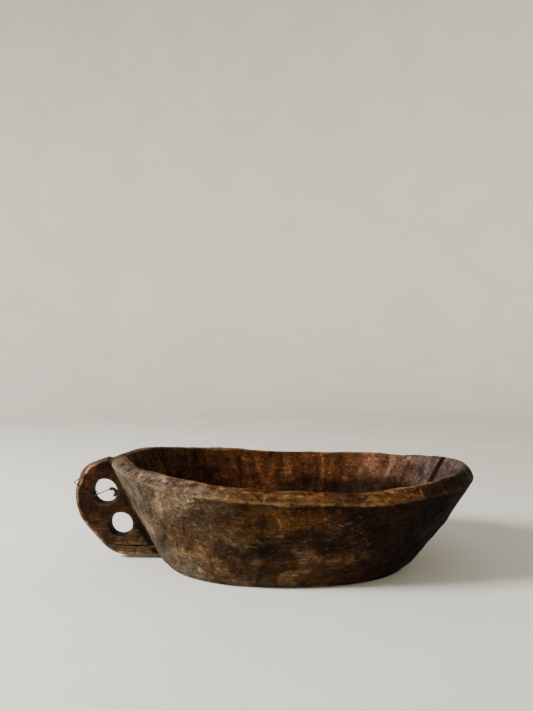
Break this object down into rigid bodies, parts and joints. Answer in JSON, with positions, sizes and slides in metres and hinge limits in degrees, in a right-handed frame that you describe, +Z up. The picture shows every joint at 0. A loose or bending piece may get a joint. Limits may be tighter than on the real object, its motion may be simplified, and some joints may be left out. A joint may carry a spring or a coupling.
{
  "type": "feed scoop",
  "caption": "Oval dugout wooden bowl with an upright grip plate, two finger holes and a thin wire tied through the upper hole.",
  "frame": {"origin": "centre of the flat base that the scoop stands on", "axes": "+X along the bowl away from the grip, +Y across the bowl, +Z up"},
  "size_m": [0.4975, 0.2818, 0.1322],
  "materials": {
    "worn_wood": "worn, dark, waxed by handling",
    "thin_wire": "blackened iron wire",
    "thick_wire": "glossy black"
  },
  "bodies": {
    "scoop": {"scoop_body": "worn_wood"},
    "wire": {"tie_wire": "thin_wire", "wire_curl": "thick_wire"}
  },
  "joints": [
    {"name": "wire_slide", "type": "hinge", "parent": "scoop", "child": "wire", "pos_m": [-0.2257, 0, 0.0835], "axis": [0, 1, 0], "range_deg": [-28, 8]}
  ]
}
